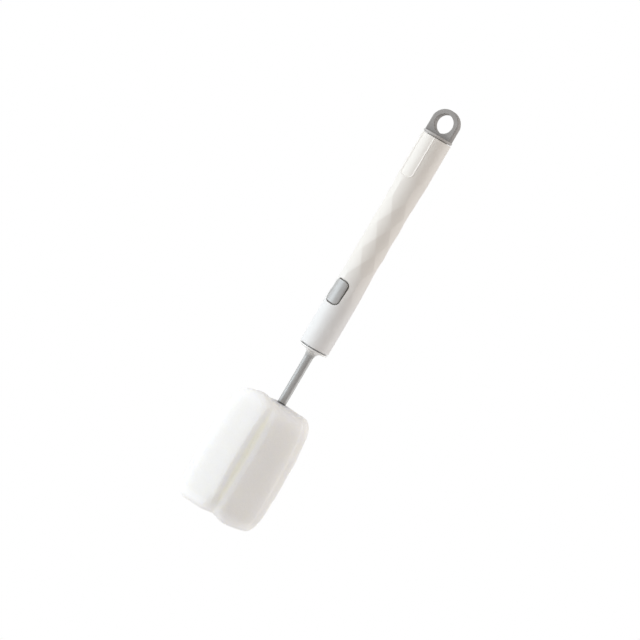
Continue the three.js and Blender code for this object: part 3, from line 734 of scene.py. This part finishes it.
def flare_profile(flange_foot):
    """(radius, z) up the flare between rod and flange, along a cubic Bezier curve."""
    share = np.linspace(0, 1, FLARE_STEPS)[:, None]
    foot, top = flange_foot - FLARE_LENGTH, flange_foot - STEM_FLANGE / 2
    bend_z = foot + FLARE_LENGTH * FLARE_BEND_RISE
    bend_radius = ROD_RADIUS + (FLARE_RADIUS - ROD_RADIUS) * FLARE_BEND_REACH
    corners = np.array(
        [(ROD_RADIUS, foot), (ROD_RADIUS, bend_z), (bend_radius, top), (FLARE_RADIUS, top)]
    )
    rest = 1 - share
    weights = np.hstack([rest**3, 3 * share * rest**2, 3 * share**2 * rest, share**3])
    return [tuple(pair) for pair in weights @ corners]


def stem():
    """The stem in one grid of rings from its point to its tip. The tail's rings are hexagons, with the
    radius flats / 2 / cos(a) at an angle a from the nearest flat's middle."""
    flange_foot = stem_top - STEM_FLANGE
    profile = core_profile(0) + flare_profile(flange_foot)
    bends = quarter(STEM_EDGE_STEPS)
    profile += rounded_edge(stem_flange_radius, flange_foot, STEM_EDGE, bends[::-1], 1)
    profile += rounded_edge(stem_flange_radius, stem_top, STEM_EDGE, bends, -1)
    plug_top = stem_top + STEM_GAP + PLUG_RISE
    profile += [(PLUG_RADIUS, stem_top), (PLUG_RADIUS, plug_top - FIT), (PLUG_RADIUS - FIT, plug_top)]

    groove_top = tip_top - TIP_LENGTH
    groove_foot = 2 * latch_z - groove_top
    tip = TAIL_FLATS / 2
    end = [(TAIL_GROOVE_RADIUS, groove_foot), (TAIL_GROOVE_RADIUS, groove_top), (tip, groove_top)]
    end += [(tip, tip_top - TIP_CHAMFER), (tip - TIP_CHAMFER, tip_top), (0, tip_top)]

    columns = ring_angles(TURNED_COLUMNS)
    from_flat = (columns % (math.pi / 3)) - math.pi / 6
    hexagon = TAIL_FLATS / 2 / np.cos(from_flat)
    rings = profile + [(hexagon, plug_top), (hexagon, groove_foot)] + end
    return surface("stem", np.stack([around(radius, columns, z) for radius, z in rings]))


# Foam head


def squircle(share, power):
    """One half axis of a rounded square from the other, both from 0 to 1."""
    return (1 - share**power) ** (1 / power)


def foam_profile():
    """(height, spread) pairs from the bore over the top, down the side and in to the bottom's middle.
    height runs from 1 at the top to -1, and spread from 0 on the axis to 1 at the side."""
    high, foot = 0.5 ** (1 / FOAM_TOP_SQUARENESS), 0.5 ** (1 / FOAM_FOOT_SQUARENESS)
    inner = (ROD_RADIUS + 2 * FIT) / foam_radius
    top = np.linspace(inner, high, FOAM_TOP_RINGS, endpoint=False)
    upper = np.linspace(high, 0, FOAM_SIDE_RINGS, endpoint=False)
    lower = np.linspace(0, foot, FOAM_SIDE_RINGS)
    bottom = np.linspace(foot, 0, FOAM_FOOT_RINGS)[1:]
    over, under = squircle(top, FOAM_TOP_SQUARENESS), squircle(bottom, FOAM_FOOT_SQUARENESS)
    height = np.concatenate([over, upper, -lower, -under])
    sides = squircle(upper, FOAM_TOP_SQUARENESS), squircle(lower, FOAM_FOOT_SQUARENESS)
    spread = np.concatenate([top, *sides, bottom])
    return height[:, None], spread[:, None]


def groove_share(across, half_mouth):
    """How far into a groove a point lies, from 0 on a lobe to 1 on the groove's floor: a V whose floor
    and lips are rounded by square roots."""
    inside = 1 + GROOVE_FLOOR - np.hypot(across / np.maximum(half_mouth, TINY), GROOVE_FLOOR)
    return np.clip((inside + np.hypot(inside, GROOVE_LIP)) / 2, 0, 1)


def round_foam(turn, values, shift=0):
    """A value at a turn about the foam, running smoothly between values given a lobe apart."""
    place = turn * LOBES / (2 * math.pi) - shift
    before = np.floor(place).astype(int)
    first, second = (np.array(values)[(before + step) % LOBES] for step in (0, 1))
    return first + (second - first) * smooth_step(0, 1, place - before)


def foam_ends(height, spread, turn):
    """How far the foam's ends stand up: the top by its mouth round the rod and, near the rim, by each
    lobe's own rise, the foot by a dimple that falls off from the axis, less each lobe's own drop."""
    outward = smooth_step(*LOBE_END_SPREAD, spread)
    rise = FOAM_MOUTH * smooth_step(*MOUTH_SPREAD, spread) + round_foam(turn, LOBE_RISES) * outward
    dimple = FOAM_DIMPLE * (1 - spread**2) ** 2 - round_foam(turn, LOBE_DROPS) * outward
    return np.where(height > 0, rise, dimple) * smooth_step(*LOBE_END_HEIGHT, np.abs(height))


def foam_grooves(height, spread, radius, z, turn):
    """How far into a groove each point lies, and the depth of the valleys, bell curves across, that lead
    on from the grooves over both ends. A groove is a lens whose half width runs as sqrt(1 - |h|^3) with
    the height h along it, and each is open by its own share."""
    lobe = 2 * math.pi / LOBES
    across = (turn % lobe - lobe / 2) * radius
    unrolled = z + np.sign(height) * (1 - spread) * foam_radius
    top, foot = foam_top + GROOVE_PAST_TOP, foam_top - FOAM_LENGTH + GROOVE_ABOVE_FOOT
    along = np.abs(unrolled - (top + foot) / 2) / ((top - foot) / 2)
    lens = np.sqrt(np.clip(1 - along**3, 0, 1))
    opening = round_foam(turn, GROOVE_OPENINGS, 0.5)
    share = groove_share(across, GROOVE_WIDTH / 2 * lens * opening) * lens * opening
    depth = VALLEY_DEPTH * np.where(height > 0, VALLEY_TOP_SHARE, 1) * opening**2
    at_end = smooth_step(*VALLEY_ALONG, along) * smooth_step(*VALLEY_SPREAD, spread)
    return share, depth * at_end * np.exp(-((across / VALLEY_WIDTH) ** 2))


def foam_head():
    """The foam: a barrel with round shoulders, whose radius falls away from its widest ring with the
    square of the height, and in the middle of each lobe, which a cosine round the foam flattens. Grooves,
    valleys and faint waves sink its skin towards the nearest point of a stretch of the axis."""
    columns = ring_angles(FOAM_COLUMNS)[None, :]
    turn = columns - math.radians(FOAM_TURN_DEG)
    height, spread = foam_profile()
    barrel = foam_radius - FOAM_TAPER * (height - FOAM_WIDEST) ** 2
    radius = (barrel - LOBE_FLATNESS * np.cos(LOBES * turn)) * spread
    z = foam_middle + FOAM_LENGTH / 2 * height + foam_ends(height, spread, turn)

    share, valley = foam_grooves(height, spread, radius, z, turn)
    waves = sum(np.sin(count * columns + rate * z) for count, rate in FOAM_WAVES)
    sunk = GROOVE_DEPTH * share + valley + FOAM_UNEVENNESS * waves * spread**2
    inset = FOAM_LENGTH / 2 - foam_radius
    inward_z = np.clip(z, foam_middle - inset, foam_middle + inset) - z
    length = np.hypot(radius, inward_z) + TINY
    off_centre = np.array([*FOAM_OFF_CENTRE, 0]) * smooth_step(*OFF_CENTRE_SPREAD, spread)[:, :, None]
    points = around(radius * (1 - sunk / length), columns, z + inward_z / length * sunk) + off_centre

    bore = core_profile(FIT)
    bore.append((ROD_RADIUS + FIT, foam_top - FOAM_MOUTH_LIP))
    bore.append((ROD_RADIUS + FOAM_MOUTH_GAP, foam_top + FOAM_MOUTH - FIT))
    bore_points = np.stack([around(size, columns[0], level) for size, level in bore])
    # Painted light: how strongly the foam glows by emission, at its ends and less at the top
    painted_light = np.where(height > 0, GLOW_TOP_SHARE, 1) * smooth_step(*GLOW_HEIGHT, np.abs(height))
    unmarked = np.zeros((len(bore), columns.size))
    marks = {
        "groove": np.concatenate([unmarked, share]),
        "painted_light": np.concatenate([unmarked, np.broadcast_to(painted_light, share.shape)]),
    }
    return surface("foam_head", np.concatenate([bore_points, points]), marks)


# Spring


def coil_spring():
    """A wire of round section carried along a helix about Y, closed at both ends."""
    coil_radius = (spring_high[2] - spring_low[2] - SPRING_WIRE) / 2
    share = np.linspace(0, 1, SPRING_TURNS * SPRING_STEPS)
    turn = share * SPRING_TURNS * 2 * math.pi
    front, back = spring_low[1] + SPRING_WIRE / 2, spring_high[1] - SPRING_WIRE / 2
    outward = np.stack([np.cos(turn), 0 * turn, np.sin(turn)], axis=-1)
    height = front + (back - front) * share
    middle = coil_radius * outward + np.stack([0 * turn, height, 0 * turn + spring_z], axis=-1)
    along = np.gradient(middle, axis=0)
    along /= np.linalg.norm(along, axis=1, keepdims=True)
    beside = np.cross(along, outward)
    size = np.full(len(share), SPRING_WIRE / 2)
    size[[0, -1]] = 0
    round_wire = ring_angles(WIRE_SIDES)[None, :, None]
    section = outward[:, None] * np.cos(round_wire) + beside[:, None] * np.sin(round_wire)
    return surface("coil_spring", middle[:, None] + size[:, None, None] * section)


# Finishes


class Value:
    """A shader value. Sums, differences and products with numbers and other values add Math nodes."""

    def __init__(self, finish, socket):
        self.finish = finish
        self.socket = socket

    def joined(self, operation, first, second):
        """The result of a Math node."""
        return self.finish.node("ShaderNodeMath", {"operation": operation}, {0: first, 1: second})

    def __add__(self, other):
        return self.joined("ADD", self, other)

    __radd__ = __add__

    def __sub__(self, other):
        return self.joined("SUBTRACT", self, other)

    def __rsub__(self, other):
        return self.joined("SUBTRACT", other, self)

    def __mul__(self, other):
        return self.joined("MULTIPLY", self, other)

    __rmul__ = __mul__


class Tree:
    """A node tree, with one method for any node and short ones for common kinds."""

    def __init__(self, tree):
        self.tree = tree

    def feed(self, socket, value):
        """Links a value to a socket, or sets a number, a vector or an opaque colour on it."""
        if isinstance(value, Value):
            self.tree.links.new(value.socket, socket)
        elif socket.type == "RGBA":
            socket.default_value = (*value, 1)
        else:
            socket.default_value = value

    def node(self, kind, settings, inputs, output=0):
        """Adds a node, applies its settings, feeds its sockets and gives one of its outputs."""
        made = self.tree.nodes.new(kind)
        for key, value in settings.items():
            setattr(made, key, value)
        for key, value in inputs.items():
            self.feed(made.inputs[key], value)
        return Value(self, made.outputs[output])

    def place(self):
        """Object coordinates."""
        return self.node("ShaderNodeTexCoord", {}, {}, "Object")

    def noise(self, scale, detail=2.0, roughness=0.5):
        """Noise about 0.5, with this many cells to a metre."""
        inputs = {"Vector": self.place(), "Scale": scale, "Detail": detail, "Roughness": roughness}
        return self.node("ShaderNodeTexNoise", {}, inputs)

    def ramp(self, value, low, high):
        """A smooth step from 0 at low to 1 at high."""
        inputs = {"Value": value, "From Min": low, "From Max": high}
        return self.node("ShaderNodeMapRange", {"interpolation_type": "SMOOTHSTEP"}, inputs)

    def height_ramp(self, low, high):
        """A smooth step from 0 at one height in mm to 1 at another."""
        height = self.node("ShaderNodeSeparateXYZ", {}, {0: self.place()}, "Z")
        return self.ramp(height, low * MM, high * MM)

    def clouds(self, scale, detail=3.0):
        """Soft clouds from 0 to 1, with this many cells to a metre."""
        return self.ramp(self.noise(scale, detail), 0.3, 0.7)

    def mark(self, name):
        """A number that the mesh keeps for each point."""
        return self.node("ShaderNodeAttribute", {"attribute_name": name}, {}, "Fac")

    def mix(self, factor, first, second):
        """A colour between two."""
        inputs = {"Factor": factor, 6: first, 7: second}
        return self.node("ShaderNodeMix", {"data_type": "RGBA"}, inputs, 2)

    def bump(self, height, distance, strength=1.0):
        """A normal bent by a height of 0 to 1 that stands for a distance in metres."""
        inputs = {"Height": height, "Distance": distance, "Strength": strength}
        return self.node("ShaderNodeBump", {}, inputs)

    def shown(self):
        """1 for rays that show a backdrop: from the camera, or sent on by gloss or glass."""
        kinds = ("Is Camera Ray", "Is Glossy Ray", "Is Transmission Ray")
        camera, glossy, passed = (self.node("ShaderNodeLightPath", {}, {}, kind) for kind in kinds)
        return camera + glossy + passed


class Finish(Tree):
    """A material's node tree."""

    def __init__(self, name):
        self.material = bpy.data.materials.new(name)
        self.material.use_nodes = True
        super().__init__(self.material.node_tree)
        self.shader = self.tree.nodes["Principled BSDF"]

    def set(self, **sockets):
        """Feeds the shader's own sockets, named with _ for a space."""
        for key, value in sockets.items():
            self.feed(self.shader.inputs[key.replace("_", " ")], value)


def shade_of(colour, factor):
    """A colour made darker or lighter."""
    return tuple(channel * factor for channel in colour)


def satin_white():
    """White moulded plastic with a fine satin grain, a touch warmer towards the loop."""
    finish = Finish("satin_white")
    clouds = finish.clouds(scale=38)
    cool, warm = finish.mix(clouds, *HANDLE_COOL), finish.mix(clouds, *HANDLE_WARM)
    warmth = finish.height_ramp(COOL_BELOW_Z, WARM_ABOVE_Z)
    grain = finish.noise(scale=1900, detail=2)
    finish.set(Base_Color=finish.mix(warmth, cool, warm), Normal=finish.bump(grain, distance=0.000012))
    finish.set(Roughness=0.44 + 0.10 * finish.noise(scale=240, detail=3) + 0.06 * grain)
    finish.set(Specular_IOR_Level=0.3)
    return finish.material


def grey_plastic(finish, colour, roughness):
    """Gives a finish the grain and gloss of grey moulded plastic. Returns its colour, with faint clouds
    where the melt flowed and darker flecks in the grain."""
    grain = finish.noise(scale=1500, detail=3)
    flecks = finish.ramp(grain, low=0.58, high=0.75)
    clouds = finish.clouds(scale=70, detail=4)
    finish.set(Normal=finish.bump(grain, distance=0.00001))
    finish.set(Roughness=roughness + 0.10 * finish.noise(scale=300, detail=3))
    base = finish.mix(clouds, shade_of(colour, 1.03), shade_of(colour, 0.96))
    return finish.mix(0.3 * flecks, base, shade_of(colour, 0.9))


def button_plastic(colour):
    """Grey moulded plastic with a soft gloss."""
    finish = Finish("button_grey")
    finish.set(Base_Color=grey_plastic(finish, colour, roughness=0.28))
    finish.set(Coat_Weight=1.0, Coat_Roughness=0.38)
    return finish.material


def loop_plastic(colour):
    """Matt grey moulded plastic, painted a little darker towards the loop's foot as painted shade, and
    painted paler on the flange as painted light.
    """
    finish = Finish("loop_grey")
    near = finish.height_ramp(flange_top + PAINTED_SHADE_HEIGHT, flange_top)
    flange = finish.height_ramp(flange_top + PAINTED_LIGHT_FLANGE_BLEND, flange_top - PAINTED_LIGHT_FLANGE_BLEND)
    plain = grey_plastic(finish, colour, roughness=0.52)
    # Painted shade: the loop is painted darker towards its foot above the flange
    with_painted_shade = finish.mix(0.15 * near, plain, shade_of(colour, 0.3))
    # Painted light: the flange is painted paler than the loop
    finish.set(Base_Color=finish.mix(flange, with_painted_shade, shade_of(colour, 1.4)), Specular_IOR_Level=0.3)
    return finish.material


def stem_plastic(colour):
    """Glossy grey moulded plastic, painted paler towards the flange as painted light, and painted dark on
    the rod from just above the foam down into it as a painted shadow.
    """
    finish = Finish("stem_grey")
    flange_foot = stem_top - STEM_FLANGE
    mouth = foam_top + FOAM_MOUTH
    # Painted light: the flare is painted paler towards the flange
    painted_light = finish.height_ramp(flange_foot - PAINTED_LIGHT_FLARE_SHARE * FLARE_LENGTH, flange_foot)
    below = finish.height_ramp(stem_top + PAINTED_LIGHT_BLEND, stem_top - PAINTED_LIGHT_BLEND)
    # Painted shadow: the rod is painted dark from just above the foam's mouth down into the foam
    painted_shadow = finish.height_ramp(mouth + PAINTED_SHADOW_SETS_IN, mouth + PAINTED_SHADOW_IS_FULL)
    plain = grey_plastic(finish, colour, roughness=0.28)
    paler = finish.mix(painted_light * below, plain, shade_of(colour, 2.7))
    finish.set(Base_Color=finish.mix(painted_shadow, paler, shade_of(colour, 0.15)))
    finish.set(Coat_Weight=1.0, Coat_Roughness=0.3)
    return finish.material


def natural_plastic():
    """Uncoloured slippery plastic, milky, with faint tool marks along the handle."""
    finish = Finish("natural_plastic")
    stretch = finish.node("ShaderNodeMapping", {}, {"Vector": finish.place(), "Scale": (1, 1, 0.15)})
    inputs = {"Vector": stretch, "Scale": 900, "Detail": 3.0}
    marks = finish.node("ShaderNodeTexNoise", {}, inputs)
    finish.set(Base_Color=finish.mix(finish.clouds(scale=120), *NATURAL))
    finish.set(Roughness=0.38 + 0.14 * marks, Normal=finish.bump(marks, distance=0.00001))
    return finish.material


def drawn_steel():
    """Bright drawn spring wire with fine streaks and a little tarnish."""
    finish = Finish("drawn_steel")
    streaks = finish.noise(scale=2600, detail=3)
    tarnish = finish.ramp(finish.noise(scale=420, detail=3), low=0.45, high=0.75)
    finish.set(Base_Color=finish.mix(tarnish, *STEEL), Metallic=1.0)
    finish.set(Roughness=0.24 + 0.22 * streaks, Normal=finish.bump(streaks, distance=0.00001))
    return finish.material


def fine_foam():
    """White open-cell foam: small pores between round cells, light that spreads under the skin, a painted
    glow by emission, stronger at the ends, and a yellowish tint down in the grooves."""
    finish = Finish("fine_foam")
    inputs = {"Vector": finish.place(), "Scale": 900, "Randomness": 1.0}
    cells = finish.node("ShaderNodeTexVoronoi", {"feature": "F1"}, inputs, "Distance")
    pores = finish.ramp(cells, low=0.35, high=0.75)
    mottle = finish.ramp(finish.noise(scale=650, detail=4, roughness=0.65), low=0.35, high=0.68)
    groove_floor = finish.ramp(finish.mark("groove"), low=0.5, high=0.97)
    plain = finish.mix(finish.clouds(scale=60), *FOAM_WHITE)
    mottled = finish.mix(0.15 * mottle, finish.mix(groove_floor, plain, FOAM_DEEP), FOAM_MOTTLE)
    finish.set(Base_Color=finish.mix(0.06 * pores, mottled, FOAM_PORE), Roughness=0.92 + 0.06 * pores)
    height = 0.6 * mottle + 0.4 * (1 - pores)
    finish.set(Normal=finish.bump(height, distance=0.00025, strength=0.5), Specular_IOR_Level=0.2)
    # Painted light: the foam glows by emission, more at its ends
    finish.set(Emission_Color=finish.mix(finish.mark("painted_light"), *FOAM_GLOW), Emission_Strength=1.0)
    finish.set(Subsurface_Weight=1.0, Subsurface_Scale=0.012, Subsurface_Radius=(1.0, 0.97, 0.85))
    return finish.material


# Pieces on their bodies


def dress(piece, material, body, node):
    """Gives a piece its finish and its body, in place of a CAD node."""
    piece.data.materials.clear()
    piece.data.materials.append(material)
    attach(piece, body)
    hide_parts(node)


def assemble():
    """Makes every piece and gives the shown CAD nodes their finishes."""
    button_grey, stem_grey = shade_of(TRIM_GREY, BUTTON_SHADE), shade_of(TRIM_GREY, STEM_SHADE)
    dress(handle_grip(), satin_white(), "handle", "handle_shell")
    dress(loop_cap(), loop_plastic(LOOP_GREY), "handle", "hang_loop_cap")
    dress(push_button(), button_plastic(button_grey), "button", "release_button")
    dress(stem(), stem_plastic(stem_grey), "brush_head", "brush_stem")

    foam = foam_head()
    dress(foam, fine_foam(), "brush_head", "sponge_head")

    spring = coil_spring()
    dress(spring, drawn_steel(), "handle", "latch_spring")
    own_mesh(spring)

    natural = natural_plastic()
    for node in ("stem_socket", "latch_plate"):
        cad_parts[node].material_slots[0].material = natural


# Camera, floor and light


def view_direction(azimuth_deg, elevation_deg):
    """Unit vector from the object towards a viewer or lamp, with the azimuth counted from the front."""
    azimuth, elevation = math.radians(azimuth_deg), math.radians(elevation_deg)
    level = math.cos(elevation)
    return Vector((level * math.sin(azimuth), -level * math.cos(azimuth), math.sin(elevation)))


def place_camera():
    """The camera at the photograph's angle, rolled so that the brush leans as it does there."""
    back = view_direction(VIEW_AZIMUTH_DEG, VIEW_ELEVATION_DEG)
    level = Vector((0, 0, 1)).cross(back).normalized()
    upright = back.cross(level)
    roll = math.radians(VIEW_ROLL_DEG)
    right = math.cos(roll) * level + math.sin(roll) * upright
    up = math.cos(roll) * upright - math.sin(roll) * level
    lens = bpy.data.cameras.new("camera")
    lens.sensor_width = SENSOR_MM
    lens.lens = FOCAL_PIXELS / FRAME_PIXELS * SENSOR_MM
    camera = bpy.data.objects.new("camera", lens)
    target = Vector((0, 0, VIEW_TARGET_Z)) + VIEW_RIGHT * right + VIEW_UP * up
    turn = Matrix((right, up, back)).transposed().to_4x4()
    camera.matrix_world = Matrix.Translation(target + VIEW_DISTANCE * back) @ turn
    bpy.context.scene.collection.objects.link(camera)
    bpy.context.scene.camera = camera


def lay_floor():
    """A pale matt floor well below the hanging brush. What the camera sees of it is lifted to white, and
    the brush's shadow stays on it."""
    half = FLOOR_HALF_SIZE
    mesh = bpy.data.meshes.new("floor")
    sides = ((-half, -half), (half, -half), (half, half), (-half, half))
    mesh.from_pydata([(x, y, FLOOR_Z) for x, y in sides], [], [(0, 1, 2, 3)])
    floor = bpy.data.objects.new("floor", mesh)
    bpy.context.scene.collection.objects.link(floor)
    finish = Finish("pale_floor")
    finish.set(Base_Color=FLOOR_PALE, Roughness=1.0, Specular_IOR_Level=0.0)
    lift = finish.mix(finish.shown(), BLACK, FLOOR_LIFT)
    finish.set(Emission_Color=lift, Emission_Strength=1.0)
    mesh.materials.append(finish.material)


def add_sun(name, azimuth, elevation, width, strength, colour):
    """A soft distant lamp, its azimuth counted from the camera's towards the picture's right."""
    lamp = bpy.data.lights.new(name, "SUN")
    lamp.energy = strength
    lamp.angle = math.radians(width)
    lamp.color = colour
    sun = bpy.data.objects.new(name, lamp)
    towards = view_direction(VIEW_AZIMUTH_DEG + azimuth, elevation)
    sun.rotation_euler = towards.to_track_quat("Z", "Y").to_euler()
    bpy.context.scene.collection.objects.link(sun)


def light_studio():
    """An even warm surround that looks white, and the lamps."""
    world = bpy.data.worlds.new("studio")
    bpy.context.scene.world = world
    world.use_nodes = True
    studio = Tree(world.node_tree)
    colour = studio.mix(studio.shown(), AMBIENT, WHITE)
    studio.feed(world.node_tree.nodes["Background"].inputs["Color"], colour)
    for name, lamp in LAMPS.items():
        add_sun(name, **lamp)


place_camera()
lay_floor()
light_studio()
assemble()
bpy.context.scene.view_settings.view_transform = "Standard"
